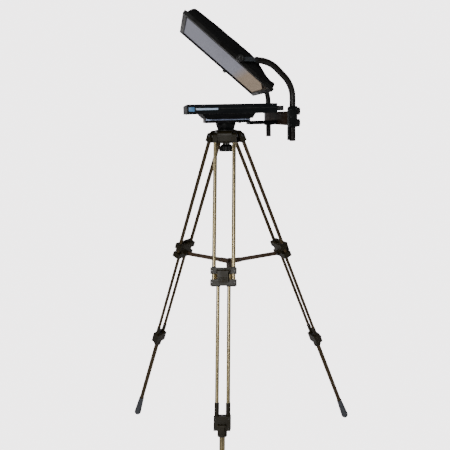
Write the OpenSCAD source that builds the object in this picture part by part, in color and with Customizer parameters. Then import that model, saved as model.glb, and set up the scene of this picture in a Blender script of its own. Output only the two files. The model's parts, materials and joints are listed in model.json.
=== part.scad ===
// Tripod-standing teleprompter: a flat monitor faces up under a tilted beam-splitter
// glass, which a yoke holds on a crossbar, all on a half-ball head and three
// telescopic twin-tube legs.
// Millimetres. X points to the camera operator, -X to the speaker, +Z is up.
// The origin is on the floor under the tripod's axis.

/* [Tripod crown and head] */
// Height of the crown's underside
crown_bottom = 1436; // [1430:1:1440]
// Height of the leg hinges
hinge_h = 1463.5; // [1460:0.5:1466]
// Radius of the circle of leg hinges
hinge_r = 48.6; // [48:0.1:51]
// Angle of the open legs from upright
leg_tilt = 21.8; // [18:0.1:24]
// Turn of the front leg from -Y
leg_turn = -12.5; // [-30:0.5:30]
// Radius of the half-ball
ball_r = 37.5; // [36:0.5:38]

/* [Legs] */
// Outer diameter of the upper twin tubes
outer_d = 15; // [13:0.5:16]
// Spacing of the upper twin tubes
outer_gap = 72; // [71:0.5:74]
// Outer diameter of the middle twin tubes
inner_d = 13.5; // [12:0.5:14]
// Spacing of the middle twin tubes
inner_gap = 40; // [39:0.5:41]
// Outer diameter of the bottom tube
lower_d = 20; // [18:0.5:20]
// Distance along the leg from the hinge to the middle lock
mid_s = 537; // [520:1:550]
// Distance along the leg from the hinge to the lower lock
low_s = 1042; // [1020:1:1060]
// Width of the middle lock along the leg circle
lock_w = 94; // [92:1:98]

/* [Monitor] */
// Monitor depth along X
mon_x = 320; // [300:1:326]
// Monitor width along Y
mon_y = 380; // [340:1:384]
// Height of the monitor's underside
mon_z = 1547; // [1547:1:1550]
// Thickness of the monitor
mon_t = 33; // [30:1:36]
// Centre of the monitor along X
mon_cx = 4; // [0:1:6]

/* [Glass frame] */
// Length of the glass frame down its slope
frame_l = 396; // [380:1:400]
// Width of the glass frame
frame_w = 380; // [360:1:380]
// Angle of the glass below horizontal
frame_tilt = 40.7; // [35:0.1:45]
// Distance from the frame's top end to its pivot
pivot_u = 237; // [230:1:245]
// Pivot height
pivot_z = 1729.5; // [1720:0.5:1740]
// Pivot place along X
pivot_x = 30.4; // [25:0.1:35]

/* [Yoke and crossbar] */
// Distance of each arm from the middle
arm_y = 206; // [205:0.5:208]
// Outer diameter of the arm tube
arm_d = 22; // [20:0.5:22]
// Bend radius of the arm's two bends
arm_bend = 100; // [90:1:110]
// Place of the arms' upright part along X
post_x = 215; // [213:0.5:217]
// Height of the arms' lower ends
post_z = 1449.5; // [1440:0.5:1455]
// Depth of the crossbar along X
bar_x = 25; // [22:0.5:25]
// Height of the crossbar
bar_h = 50; // [46:1:50]

/* [Hidden] */
$fn = 64;
eps = 0.01;
running = 0.05;    // radial clearance of a turning fit
sliding = 0.25;    // radial clearance of a sliding tube

// Half-ball head
ball_z = crown_bottom + 42;
crown_top = ball_z + 5;
neck_top = ball_z + 35;
liner_r = ball_r + 2;
bowl_r = liner_r + 0.3;
crown_r = bowl_r + 4.2;
bolt_r = 5;
knob_top = crown_bottom - 8;

// Base plate and rail
base_z = neck_top;
base_t = mon_z - 18 - base_z;
base_x0 = -84;
base_x1 = 88;
base_w = 120;
rail_x0 = 48;
rib_w = 50;
rib_top = base_z + 5;
bar_x0 = post_x - arm_d / 2 - 4.5;
bar_z = 1501;
bar_end = arm_y - 14;
clamp_w = 29.5;
clamp_top = 1568;
clamp_bottom = 1495;
clamp_knob_z = [1550.5, 1509.5];

// Glass frame section
rim = 17;          // face width of the frame
lip = 4;           // part of the rim that laps over the glass
frame_low = -9;    // speaker side of the frame, measured from the pivot axis
frame_high = 3;    // operator side of the frame
glass_low = -6;
glass_t = 3;
stud_r = 4;
plate_y = arm_y - 6;
plate_t = 5;

// Hood outline on the operator side of the glass: distance from the top end, and height
hood_outline = [
  [9, 3], [14, 27], [22, 34], [60, 38], [120, 41], [200, 45], [250, 46], [282, 43],
  [316, 34], [352, 24], [372, 22], [383, 26], [389, 22], [391, 12], [388, 3]
];
hood_wall = 3;
lens_u = 248;
lens_r = 55;

// Mid lock and spreader
collar_h = 23;
collar_x = 17;
lock_gap = 20;
upper_s = mid_s - lock_gap / 2 - collar_h;
lower_s = mid_s + lock_gap / 2;
back_plate = 5.5;
arm_pin_s = 547;
arm_pin_x = -27;
arm_bar_w = 8;
arm_bar_h = 16;
ear_gap = 9;
ear_t = 4;
hub_reach = 50;
arm_reach = 46;
spread_r = hinge_r + arm_pin_s * sin(leg_tilt) + arm_pin_x * cos(leg_tilt);
spread_z = hinge_h - arm_pin_s * cos(leg_tilt) + arm_pin_x * sin(leg_tilt);
lever_pin_x = collar_x + 6;
lever_w = 40;

// Lower lock, tube and foot
low_h = 47;
low_w = 58;
low_x = 16;
sleeve_l = 40;
floor_s = hinge_h / cos(leg_tilt);
foot_r = 17;
foot_centre_s = floor_s - 16;
foot_top_s = floor_s - 120;
head_tube_s = 6;

function heading(k) = -90 + leg_turn + 120 * (k - 1);

// ---------- frames of reference ----------

// Puts a shape made under a hinge, its leg pointing down -Z, into leg k
module in_leg(k) {
  rotate([0, 0, heading(k)])
    translate([hinge_r, 0, hinge_h])
      rotate([0, -leg_tilt, 0])
        children();
}

// Puts a shape made flat around the pivot into the slope of the glass
module in_slope() {
  translate([pivot_x, 0, pivot_z])
    rotate([0, frame_tilt, 0])
      children();
}

module mirrored_y() {
  children();
  mirror([0, 1, 0]) children();
}

// ---------- general shapes ----------

// Box between two corners
module span(a, b) {
  translate(a) cube(b - a);
}

// Rod along Y from y0 to y1 at a place in the XZ plane
module rod_y(x, z, y0, y1, r) {
  translate([x, y0, z]) rotate([-90, 0, 0]) cylinder(h = y1 - y0, r = r);
}

// Rod along X from x0 to x1
module rod_x(y, z, x0, x1, r) {
  translate([x0, y, z]) rotate([0, 90, 0]) cylinder(h = x1 - x0, r = r);
}

// Rod down a leg from distance s0 to s1
module rod_s(x, y, s0, s1, r) {
  translate([x, y, -s1]) cylinder(h = s1 - s0, r = r);
}

// Hollow tube down a leg
module tube_s(y, s0, s1, d, wall) {
  difference() {
    rod_s(0, y, s0, s1, d / 2);
    rod_s(0, y, s0 - 1, s1 + 1, d / 2 - wall);
  }
}

// Outline of a hand knob with finger flutes
module fluted(r, flutes, cut) {
  difference() {
    circle(r = r);
    for (i = [0 : flutes - 1])
      rotate(i * 360 / flutes) translate([r + cut * 0.45, 0]) circle(r = cut, $fn = 32);
  }
}

// ---------- glass frame ----------

frame_u0 = -pivot_u;
frame_u1 = frame_l - pivot_u;
half_w = frame_w / 2;

// Rectangular frame with a rebate for the glass and two pivot studs
module glass_frame() {
  color("#16181a") in_slope() difference() {
    union() {
      span([frame_u0, -half_w, frame_low], [frame_u1, half_w, frame_high]);
      mirrored_y() {
        rod_y(0, 0, half_w - 2, plate_y - 0.5, 11);
        rod_y(0, 0, half_w - 2, plate_y + 24, stud_r);
      }
    }
    span([frame_u0 + rim, rim - half_w, frame_low - 1], [frame_u1 - rim, half_w - rim, frame_high + 1]);
    span([frame_u0 + rim - lip, rim - lip - half_w, glass_low],
         [frame_u1 - rim + lip, half_w - rim + lip, frame_high + 1]);
  }
}

// Half-silvered sheet in the rebate
module beam_splitter_glass() {
  gap = 0.3;
  color("#8f969c") in_slope()
    span([frame_u0 + rim - lip + gap, rim - lip - half_w + gap, glass_low],
         [frame_u1 - rim + lip - gap, half_w - rim + lip - gap, glass_low + glass_t]);
}

// Outline of the hood's inside, drawn in by the wall and open at the glass
function inner_outline() = [
  for (i = [0 : len(hood_outline) - 1])
    let (p = hood_outline[i])
    [200 + (p[0] - 200) * 0.97, i == 0 || i == len(hood_outline) - 1 ? 2 : p[1] - hood_wall - 1]
];

// Shallow cloth cover behind the glass with a lens opening in its back
module hood() {
  hood_half = half_w - 5;
  color("#0d0d0e") in_slope() difference() {
    translate([frame_u0, hood_half, 0]) rotate([90, 0, 0])
      linear_extrude(2 * hood_half) polygon(hood_outline);
    translate([frame_u0, hood_half - hood_wall, 0]) rotate([90, 0, 0])
      linear_extrude(2 * (hood_half - hood_wall)) polygon(inner_outline());
    translate([lens_u - pivot_u, 0, 20]) cylinder(h = 60, r = lens_r);
  }
}

// Tilt knob on one of the frame's studs
module tilt_knob() {
  rotate([-90, 0, 0]) difference() {
    translate([0, 0, plate_y + plate_t + 0.5]) linear_extrude(14) fluted(12, 8, 3);
    cylinder(h = plate_y + 40, r = stud_r + running);
  }
}

module near_tilt_knob() { color("#1a1b1c") in_slope() mirror([0, 1, 0]) tilt_knob(); }
module far_tilt_knob() { color("#1a1b1c") in_slope() tilt_knob(); }

// ---------- yoke ----------

bend_drop = arm_bend * (1 - cos(45));
bend_run = arm_bend * sin(45);
arm_top_z = pivot_z - 6.5;
arm_x0 = 84;
arm_end = 6;
bend_leg = post_x - arm_x0 - arm_end - bend_drop - bend_run;

// A 45 degree bend that starts along +X and turns down
module bend(r) {
  translate([0, 0, -arm_bend]) rotate([90, 0, 0]) rotate([0, 0, 45])
    rotate_extrude(angle = 45) translate([arm_bend, 0]) circle(r = r);
}

// Rod along X that laps 1 mm over its neighbours
module lapped(l, r) {
  rotate([0, 90, 0]) translate([0, 0, -1]) cylinder(h = l + 2, r = r);
}

// One bent arm: over, down the slope and into the upright
module arm_rod(r, extra) {
  slope = bend_leg / cos(45);
  arm_low = arm_top_z - bend_leg - bend_run - bend_drop;
  bend_r = r - 0.1;
  translate([arm_x0, 0, arm_top_z]) {
    translate([-extra, 0, 0]) rotate([0, 90, 0]) cylinder(h = arm_end + 1 + extra, r = r);
    translate([arm_end, 0, 0]) bend(bend_r);
    translate([arm_end + bend_run, 0, -bend_drop]) rotate([0, 45, 0]) {
      lapped(slope, r);
      translate([slope, 0, 0]) bend(bend_r);
    }
  }
  translate([post_x, 0, post_z - extra]) cylinder(h = arm_low - post_z + 1 + extra, r = r);
}

module arm_tube() {
  difference() {
    arm_rod(arm_d / 2, 0);
    arm_rod(arm_d / 2 - 2, 2);
  }
}

module yoke_arms() {
  color("#1d1a17") mirrored_y() translate([0, arm_y, 0]) arm_tube();
}

// Flat plate plugged into the arm's end, with the pivot eye
module end_plate() {
  tail_z = arm_top_z;
  difference() {
    union() {
      rod_y(pivot_x, pivot_z, plate_y, plate_y + plate_t, 10);
      span([pivot_x, plate_y, pivot_z - 9.5], [arm_x0 - 2, plate_y + plate_t, pivot_z + 5]);
      span([arm_x0 - 3, plate_y, tail_z - 5.5], [arm_x0 + 14, plate_y + plate_t, tail_z + 5]);
    }
    rod_y(pivot_x, pivot_z, plate_y - 1, plate_y + plate_t + 1, stud_r + running);
  }
}

module arm_end_plates() {
  color("#4c565b") mirrored_y() end_plate();
}

// ---------- crossbar ----------

// Box section between the two clamps
module crossbar() {
  wall = 2.5;
  color("#2a1f18") difference() {
    span([bar_x0, -bar_end, bar_z], [bar_x0 + bar_x, bar_end, bar_z + bar_h]);
    span([bar_x0 + wall, -bar_end - 1, bar_z + wall],
         [bar_x0 + bar_x - wall, bar_end + 1, bar_z + bar_h - wall]);
  }
}

// Block around the upright with two screw holes and a rounded top
module clamp_block() {
  far_y = arm_y + 15;
  round_r = 9;
  difference() {
    union() {
      span([bar_x0, bar_end, clamp_bottom], [bar_x0 + clamp_w, far_y, clamp_top - round_r]);
      span([bar_x0 + round_r, bar_end, clamp_bottom], [bar_x0 + clamp_w, far_y, clamp_top]);
      rod_y(bar_x0 + round_r, clamp_top - round_r, bar_end, far_y, round_r);
    }
    translate([post_x, arm_y, clamp_bottom - 1])
      cylinder(h = clamp_top - clamp_bottom + 2, r = arm_d / 2 + 0.1);
    for (z = clamp_knob_z)
      rod_x(arm_y, z, post_x, bar_x0 + clamp_w + 1, 3 + running);
  }
}

module arm_clamps() {
  tongue_x = post_x - arm_d / 2 - 0.6;
  color("#191a18") {
    mirrored_y() clamp_block();
    span([tongue_x - 6, -arm_y - 8, post_z], [tongue_x, 8 - arm_y, clamp_bottom]);
  }
}

// Clamp knob: screw shank and fluted head, pointing along +X
module clamp_knob(y, z) {
  head_x = bar_x0 + clamp_w + 0.5;
  color("#141414") {
    rod_x(y, z, post_x + arm_d / 2 + 0.3, head_x + eps, 3);
    translate([head_x, y, z]) rotate([0, 90, 0]) linear_extrude(11) fluted(13.5, 7, 3.5);
  }
}

module near_upper_knob() { clamp_knob(-arm_y, clamp_knob_z[0]); }
module near_lower_knob() { clamp_knob(-arm_y, clamp_knob_z[1]); }
module far_upper_knob() { clamp_knob(arm_y, clamp_knob_z[0]); }
module far_lower_knob() { clamp_knob(arm_y, clamp_knob_z[1]); }

// Sliding bar with a raised rib that runs in the base plate's groove
module rail() {
  rib_gap = 0.3;
  color("#151517") {
    span([base_x1, -40, base_z - 9], [bar_x0, 40, base_z - rib_gap + eps]);
    span([rail_x0, rib_gap - rib_w / 2, base_z - rib_gap], [bar_x0, rib_w / 2 - rib_gap, rib_top - rib_gap]);
  }
}

// ---------- base and half-ball ----------

lock_knob_x = 66;
lock_knob_z = base_z + 5;

module base_plate() {
  half = base_w / 2;
  color("#141517") difference() {
    span([base_x0, -half, base_z], [base_x1, half, base_z + base_t]);
    span([rail_x0 - 28, -rib_w / 2, base_z - 1], [base_x1 + 1, rib_w / 2, rib_top]);
    rod_y(lock_knob_x, lock_knob_z, rib_w / 2, half + 1, 3 + running);
  }
}

// Knob on the far side that clamps the rail's rib
module rail_lock_knob() {
  half = base_w / 2;
  color("#141414") {
    rod_y(lock_knob_x, lock_knob_z, rib_w / 2 + 4, half + 0.5 + eps, 3);
    translate([lock_knob_x, half + 0.5, lock_knob_z]) rotate([-90, 0, 0])
      linear_extrude(15) fluted(10, 7, 2.6);
  }
}

// Ball segment with a flared neck and a flange under the base plate
module half_ball() {
  color("#101112") difference() {
    union() {
      translate([0, 0, ball_z]) intersection() {
        sphere(r = ball_r);
        span([-50, -50, -28], [50, 50, 8]);
      }
      translate([0, 0, ball_z + 7]) cylinder(h = 20, r1 = 32, r2 = 38);
      translate([0, 0, ball_z + 27]) cylinder(h = 8, r = 39);
    }
    translate([0, 0, ball_z - 30]) cylinder(h = 22, r = bolt_r);
  }
}

// Stud from the ball to the knob with a pressure cup
module tie_down_bolt() {
  color("#8b8d8f") {
    translate([0, 0, knob_top - 22]) cylinder(h = ball_z - 8 - knob_top + 22, r = bolt_r);
    translate([0, 0, knob_top + 1]) cylinder(h = 7, r = 15);
  }
}

module tie_down_knob() {
  color("#1b1c1b") translate([0, 0, knob_top - 26]) difference() {
    union() {
      linear_extrude(19) fluted(28.5, 9, 6);
      translate([0, 0, 19 - eps]) cylinder(h = 7 + eps, r1 = 26, r2 = 18);
    }
    translate([0, 0, -1]) cylinder(h = 30, r = bolt_r + running);
  }
}

// Thin cup between the ball and the bowl, with a rim on the crown
module bowl_liner() {
  color("#2b2c2b") translate([0, 0, ball_z]) difference() {
    union() {
      intersection() {
        sphere(r = liner_r);
        span([-50, -50, -26], [50, 50, 5.4]);
      }
      translate([0, 0, 5.3]) cylinder(h = 2, r = liner_r + 2.5);
    }
    sphere(r = ball_r + 0.3);
    cylinder(h = 20, r = ball_r + 0.3);
  }
}

// ---------- monitor ----------

mon_x0 = mon_cx - mon_x / 2;
mon_x1 = mon_cx + mon_x / 2;
mon_top = mon_z + mon_t;
seam_z = mon_z + 18;
shell = 3;
bulge_z = base_z + base_t;

// Tapered lower part, wide at the monitor and narrow at the base plate
module bulge(grow, z0, z1) {
  intersection() {
    translate([0, 200, 0]) rotate([90, 0, 0]) linear_extrude(400)
      polygon([[base_x0 - grow, z0], [base_x1 + grow, z0], [96 + grow, z1], [-102 - grow, z1]]);
    translate([-200, 0, 0]) rotate([90, 0, 90]) linear_extrude(400)
      polygon([[-118 - grow, z0], [118 + grow, z0], [132 + grow, z1], [-132 - grow, z1]]);
  }
}

// Tray with the tapered housing for the electronics
module monitor_back() {
  half = mon_y / 2;
  color("#131416") difference() {
    union() {
      span([mon_x0, -half, mon_z], [mon_x1, half, seam_z]);
      bulge(0, bulge_z, mon_z + 1);
    }
    span([mon_x0 + shell, shell - half, mon_z + shell], [mon_x1 - shell, half - shell, seam_z + 1]);
    bulge(-shell, bulge_z + shell, mon_z + shell + 1);
  }
}

button_x = mon_x1 - 12;
button_ys = [-150, -128];
button_r = 4;

// Front frame of the monitor, facing up
module monitor_bezel() {
  half = mon_y / 2;
  rim_x = 24;
  rim_y = 20;
  color("#17181a") difference() {
    span([mon_x0, -half, seam_z], [mon_x1, half, mon_top]);
    span([mon_x0 + shell, shell - half, seam_z - 1], [mon_x1 - shell, half - shell, mon_top - 2]);
    span([mon_x0 + rim_x, rim_y - half, seam_z], [mon_x1 - rim_x, half - rim_y, mon_top + 1]);
    for (y = button_ys)
      translate([button_x, y, seam_z]) cylinder(h = mon_t, r = button_r + 0.3);
  }
}

module lcd_panel() {
  half = mon_y / 2;
  color("#0a0b0d")
    span([mon_x0 + 8, 8 - half, mon_top - 12], [mon_x1 - 22, half - 8, mon_top - 2.2]);
}

// Board with a heat sink and two capacitors, on four posts
module control_board() {
  board_z = bulge_z + 9;
  color("#2f5a3a") {
    span([-70, -80, board_z], [70, 80, board_z + 1.6]);
    span([-40, -30, board_z + 1.5], [-5, 10, board_z + 9]);
    for (y = [30, 50])
      translate([30, y, board_z + 1.5]) cylinder(h = 10, r = 6);
    for (x = [-60, 60], y = [-70, 70])
      translate([x, y, bulge_z + shell]) cylinder(h = 6.1, r = 4);
  }
}

// Housing for the power and video sockets on the monitor's rear edge
module connector_block() {
  x1 = mon_x1 + 24;
  z0 = mon_z + 7;
  z1 = mon_top - 9;
  color("#101010") difference() {
    span([mon_x1, -186, z0], [x1, -106, z1]);
    rod_x(-120, (z0 + z1) / 2, x1 - 12, x1 + 1, 4);
    span([x1 - 10, -158, z0 + 5], [x1 + 1, -142, z1 - 5]);
    span([x1 - 10, -182, z0 + 5], [x1 + 1, -166, z1 - 5]);
  }
}

// Push button that stands a little above the bezel
module button(y) {
  color("#303234") {
    translate([button_x, y, mon_top - 6]) cylinder(h = 7.2, r = button_r);
    translate([button_x, y, mon_top - 6]) cylinder(h = 2, r = button_r + 2);
  }
}

module power_button() { button(button_ys[0]); }
module menu_button() { button(button_ys[1]); }

// ---------- tripod crown ----------

lug_w = 54;

// Side outline of one hinge lug, with a rounded shoulder
module lug_outline() {
  polygon([
    [0, crown_bottom], [hinge_r + 4, crown_bottom], [hinge_r + 12, crown_bottom + 9],
    for (a = [0 : 15 : 90]) [hinge_r - 2 + 14 * cos(a), crown_top - 16 + 16 * sin(a)],
    [0, crown_top]
  ]);
}

module crown() {
  color("#232622") difference() {
    union() {
      translate([0, 0, crown_bottom]) cylinder(h = crown_top - crown_bottom, r = crown_r);
      for (k = [1 : 3])
        rotate([0, 0, heading(k)]) translate([0, lug_w / 2, 0]) rotate([90, 0, 0])
          linear_extrude(lug_w) lug_outline();
    }
    translate([0, 0, ball_z]) sphere(r = bowl_r);
    translate([0, 0, ball_z]) cylinder(h = 20, r = bowl_r);
    translate([0, 0, crown_bottom - 1]) cylinder(h = 40, r = 24);
    for (k = [1 : 3])
      rotate([0, 0, heading(k)]) rod_y(hinge_r, hinge_h, -40, 40, 4);
  }
}

module hinge_pins() {
  color("#9a9c9e") for (k = [1 : 3])
    rotate([0, 0, heading(k)]) rod_y(hinge_r, hinge_h, -47, 47, 4);
}

// ---------- legs ----------

// Two ears that hang on the hinge pin beside the lug, each holding one upper tube
module leg_head(k) {
  ear_in = lug_w / 2 + 0.5;
  ear_out = 45;
  color("#2a2d28") in_leg(k) mirrored_y() difference() {
    union() {
      rod_y(0, 0, ear_in, ear_out, 12);
      span([-12, ear_in, -25], [12, ear_out, 0]);
    }
    rod_y(0, 0, ear_in - 1, ear_out + 1, 4 + running);
    rod_s(0, outer_gap / 2, head_tube_s, 40, outer_d / 2);
  }
}

// Upper twin tubes, fixed in the head and the middle lock
module outer_tubes(k) {
  color("#a08e6f") in_leg(k) mirrored_y()
    tube_s(outer_gap / 2, head_tube_s, lower_s + 17, outer_d, 1.5);
}

// Middle lock: two collars joined by a back plate, with ears for the
// spreader arm inside and the lever outside
module mid_lock(k) {
  half = lock_w / 2;
  color("#30332c") in_leg(k) difference() {
    union() {
      for (s = [upper_s, lower_s])
        span([-collar_x, -half, -s - collar_h], [collar_x, half, -s]);
      span([-collar_x, -30, -lower_s - 1], [back_plate - collar_x, 30, 1 - upper_s - collar_h]);
      mirrored_y() {
        span([arm_pin_x, ear_gap / 2, -arm_pin_s - 8], [1 - collar_x, ear_gap / 2 + ear_t, 8 - arm_pin_s]);
        rod_y(arm_pin_x, -arm_pin_s, ear_gap / 2, ear_gap / 2 + ear_t, 8);
        span([collar_x - 1, lever_w / 2 + 0.5, -upper_s - 20], [lever_pin_x, lever_w / 2 + 4.5, -upper_s - 8]);
        rod_y(lever_pin_x, -upper_s - 14, lever_w / 2 + 0.5, lever_w / 2 + 4.5, 6);
      }
    }
    mirrored_y() {
      rod_s(0, outer_gap / 2, upper_s - 1, lower_s + 17, outer_d / 2);
      rod_s(0, inner_gap / 2, upper_s - 1, lower_s + collar_h + 1, inner_d / 2 + sliding);
    }
    rod_s(0, 0, upper_s - 1, lower_s + collar_h + 1, lower_d / 2 + 0.3);
    rod_y(arm_pin_x, -arm_pin_s, -15, 15, 2.5 + running);
    rod_y(lever_pin_x, -upper_s - 14, -30, 30, 2 + running);
  }
}

// Flap lever of the middle lock, on its own trunnions
module mid_lever(k) {
  half = lever_w / 2;
  pin_s = upper_s + 14;
  color("#3a3d35") in_leg(k) {
    rod_y(lever_pin_x, -pin_s, -half - 4, half + 4, 2);
    rod_y(lever_pin_x, -pin_s, -half, half, 5);
    span([lever_pin_x - 1, -half, -pin_s - 38], [lever_pin_x + 5, half, -pin_s]);
  }
}

// Middle twin tubes, sliding in the middle lock
module inner_tubes(k) {
  color("#a08e6f") in_leg(k) mirrored_y()
    tube_s(inner_gap / 2, upper_s - 1, low_s + 8, inner_d, 1.5);
}

// Lower lock: block and sleeves on the middle tubes, with the bottom tube through it
module lower_lock(k) {
  half = low_w / 2;
  top = low_s - low_h / 2;
  bottom = low_s + low_h / 2;
  pin_s = low_s + 6;
  color("#2d302a") in_leg(k) difference() {
    union() {
      span([-low_x, -half, -bottom], [low_x, half, -top]);
      mirrored_y() {
        rod_s(0, inner_gap / 2, top - sleeve_l, top + 1, inner_d / 2 + 1.6);
        span([low_x - 1, 10.5, -pin_s - 6], [low_x + 6, 14, 6 - pin_s]);
        rod_y(low_x + 6, -pin_s, 10.5, 14, 6);
      }
      rod_s(0, 0, bottom - 1, bottom + 18, lower_d / 2 + 7);
    }
    mirrored_y() rod_s(0, inner_gap / 2, top - sleeve_l - 1, low_s + 8, inner_d / 2);
    rod_s(0, 0, top - 1, bottom + 19, lower_d / 2 + sliding);
    rod_y(low_x + 6, -pin_s, -20, 20, 2 + running);
  }
}

module lower_lever(k) {
  pin_s = low_s + 6;
  pin_x = low_x + 6;
  color("#3a3d35") in_leg(k) {
    rod_y(pin_x, -pin_s, -13.5, 13.5, 2);
    rod_y(pin_x, -pin_s, -10, 10, 4.5);
    span([pin_x, -10, -pin_s - 30], [pin_x + 5, 10, -pin_s]);
  }
}

// Bottom tube, sliding in the lower lock
module lower_tube(k) {
  color("#8f7f63") in_leg(k)
    tube_s(0, low_s - low_h / 2 + 4, foot_top_s + 24, lower_d, 2);
}

// Tapered rubber foot, cut flat where it meets the floor
module foot(k) {
  color("#4a4c4e") difference() {
    in_leg(k) difference() {
      union() {
        translate([0, 0, -foot_centre_s])
          cylinder(h = foot_centre_s - foot_top_s, r1 = foot_r, r2 = lower_d / 2 + 2);
        translate([0, 0, -foot_centre_s]) sphere(r = foot_r);
      }
      rod_s(0, 0, foot_top_s - 1, foot_top_s + 24, lower_d / 2);
    }
    span([-800, -800, -60], [800, 800, 0]);
  }
}

// ---------- spreader ----------

// Slotted drum with three clevises, open above so the arms can swing up
module spreader_hub() {
  color("#2b2d29") translate([0, 0, spread_z]) difference() {
    union() {
      translate([0, 0, -26]) cylinder(h = 36, r = 15);
      for (k = [1 : 3])
        rotate([0, 0, heading(k)])
          span([0, -ear_gap / 2 - ear_t, -8], [hub_reach, ear_gap / 2 + ear_t, 8]);
    }
    for (k = [1 : 3])
      rotate([0, 0, heading(k)])
        span([0, -ear_gap / 2, -9], [hub_reach + 1, ear_gap / 2, 11]);
  }
}

// Bar from the middle lock's ears to the hub's clevis
module spreader_arm(k) {
  color("#2f2c24") rotate([0, 0, heading(k)]) {
    span([arm_reach, -arm_bar_w / 2, spread_z - arm_bar_h / 2],
         [spread_r, arm_bar_w / 2, spread_z + arm_bar_h / 2]);
    rod_y(spread_r, spread_z, -arm_bar_w / 2, arm_bar_w / 2, arm_bar_h / 2);
    rod_y(spread_r, spread_z, -ear_gap / 2 - 3.5, ear_gap / 2 + 3.5, 2.5);
  }
}

glass_frame();
beam_splitter_glass();
hood();
near_tilt_knob();
far_tilt_knob();
yoke_arms();
arm_end_plates();
crossbar();
arm_clamps();
near_upper_knob();
near_lower_knob();
far_upper_knob();
far_lower_knob();
rail();
base_plate();
rail_lock_knob();
half_ball();
tie_down_bolt();
tie_down_knob();
bowl_liner();
monitor_back();
monitor_bezel();
lcd_panel();
control_board();
connector_block();
power_button();
menu_button();
crown();
hinge_pins();
spreader_hub();
for (k = [1 : 3]) {
  spreader_arm(k);
  leg_head(k);
  outer_tubes(k);
  mid_lock(k);
  mid_lever(k);
  inner_tubes(k);
  lower_lock(k);
  lower_lever(k);
  lower_tube(k);
  foot(k);
}
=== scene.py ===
import json
import math

import bmesh
import bpy
from mathutils import Matrix, Vector, noise


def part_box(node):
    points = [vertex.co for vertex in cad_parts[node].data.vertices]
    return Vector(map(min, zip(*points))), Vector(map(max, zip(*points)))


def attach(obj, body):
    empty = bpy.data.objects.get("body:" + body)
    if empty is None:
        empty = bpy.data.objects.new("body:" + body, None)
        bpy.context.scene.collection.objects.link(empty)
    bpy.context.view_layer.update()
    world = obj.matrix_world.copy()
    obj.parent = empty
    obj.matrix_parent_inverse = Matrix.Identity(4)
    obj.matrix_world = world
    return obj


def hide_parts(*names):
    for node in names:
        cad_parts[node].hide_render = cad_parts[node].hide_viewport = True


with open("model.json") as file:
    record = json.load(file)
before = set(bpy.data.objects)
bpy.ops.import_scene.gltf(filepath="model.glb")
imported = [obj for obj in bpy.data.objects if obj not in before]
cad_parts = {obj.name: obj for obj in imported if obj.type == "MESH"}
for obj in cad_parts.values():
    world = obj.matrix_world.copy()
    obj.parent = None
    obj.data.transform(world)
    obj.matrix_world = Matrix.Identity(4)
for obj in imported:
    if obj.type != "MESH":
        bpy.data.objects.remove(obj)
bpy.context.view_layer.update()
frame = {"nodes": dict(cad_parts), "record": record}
nodes = frame["nodes"]
joints = {joint["name"]: joint for joint in frame["record"]["behaviour"]["joints"]}


# The camera stands on the near side, a little towards the speaker and just above the
# monitor, and looks slightly down. The lens is a normal one, moved a little off centre.
def make_camera():
    pitch = math.radians(12.4)
    yaw = math.radians(9.2)
    roll = math.radians(-1.2)
    ahead = Vector((math.sin(yaw) * math.cos(pitch), math.cos(yaw) * math.cos(pitch), -math.sin(pitch)))
    level = Vector((math.cos(yaw), -math.sin(yaw), 0))
    upright = level.cross(ahead)
    right = level * math.cos(roll) + upright * math.sin(roll)
    top = upright * math.cos(roll) - level * math.sin(roll)
    data = bpy.data.cameras.new("camera")
    data.sensor_width = 36
    data.lens = 37.74
    data.shift_x = -0.0478
    data.shift_y = -0.0144
    camera = bpy.data.objects.new("camera", data)
    turn = Matrix((right, top, -ahead)).transposed().to_4x4()
    camera.matrix_world = Matrix.Translation((-0.2287, -1.8745, 1.5412)) @ turn
    bpy.context.scene.collection.objects.link(camera)
    bpy.context.scene.camera = camera


make_camera()


# The studio is a plain pale floor that curves up into a backdrop far behind. The floor and
# the sky look white to the camera, while the light on the prompter is soft: two panels near
# the camera, two behind, a narrow card that the glass mirrors, and a dim even sky.
studio_white = {"Color": (1.0, 0.96, 0.97, 1), "Strength": 4.0}


# Every material is a small node tree. An input that is given as a socket is linked, and
# any other is set as a value.
def shader_node(tree, kind, inputs=None, **settings):
    made = tree.nodes.new("ShaderNode" + kind)
    for key, value in settings.items():
        setattr(made, key, value)
    for key, value in (inputs or {}).items():
        if isinstance(value, bpy.types.NodeSocket):
            tree.links.new(value, made.inputs[key])
        else:
            made.inputs[key].default_value = value
    return made


def new_material(name):
    made = bpy.data.materials.new(name)
    made.use_nodes = True
    return made, made.node_tree, made.node_tree.nodes["Principled BSDF"]


def set_shader(tree, shader, **inputs):
    for key, value in inputs.items():
        socket = shader.inputs[key.replace("_", " ")]
        if isinstance(value, bpy.types.NodeSocket):
            tree.links.new(value, socket)
        else:
            socket.default_value = value


def object_place(tree, **mapping):
    place = shader_node(tree, "TexCoord").outputs["Object"]
    if not mapping:
        return place
    return shader_node(tree, "Mapping", {"Vector": place, **mapping}).outputs["Vector"]


def cloudy(tree, place, scale, detail=4, rough=0.6):
    inputs = {"Vector": place, "Scale": scale, "Detail": detail, "Roughness": rough}
    return shader_node(tree, "TexNoise", inputs).outputs["Fac"]


def mixed(tree, share, first, second):
    return shader_node(tree, "MixRGB", {"Fac": share, "Color1": first, "Color2": second}).outputs["Color"]


def end_with(tree, shader):
    output = next(item for item in tree.nodes if item.type.startswith("OUTPUT"))
    tree.links.new(shader.outputs[0], output.inputs["Surface"])


# Glows white where the camera sees it directly, and lights the prompter as its plain self.
def white_to_camera(tree, plain, glow):
    direct = shader_node(tree, "LightPath").outputs["Is Camera Ray"]
    end_with(tree, shader_node(tree, "MixShader", {0: direct, 1: plain.outputs[0], 2: glow.outputs[0]}))


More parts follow.
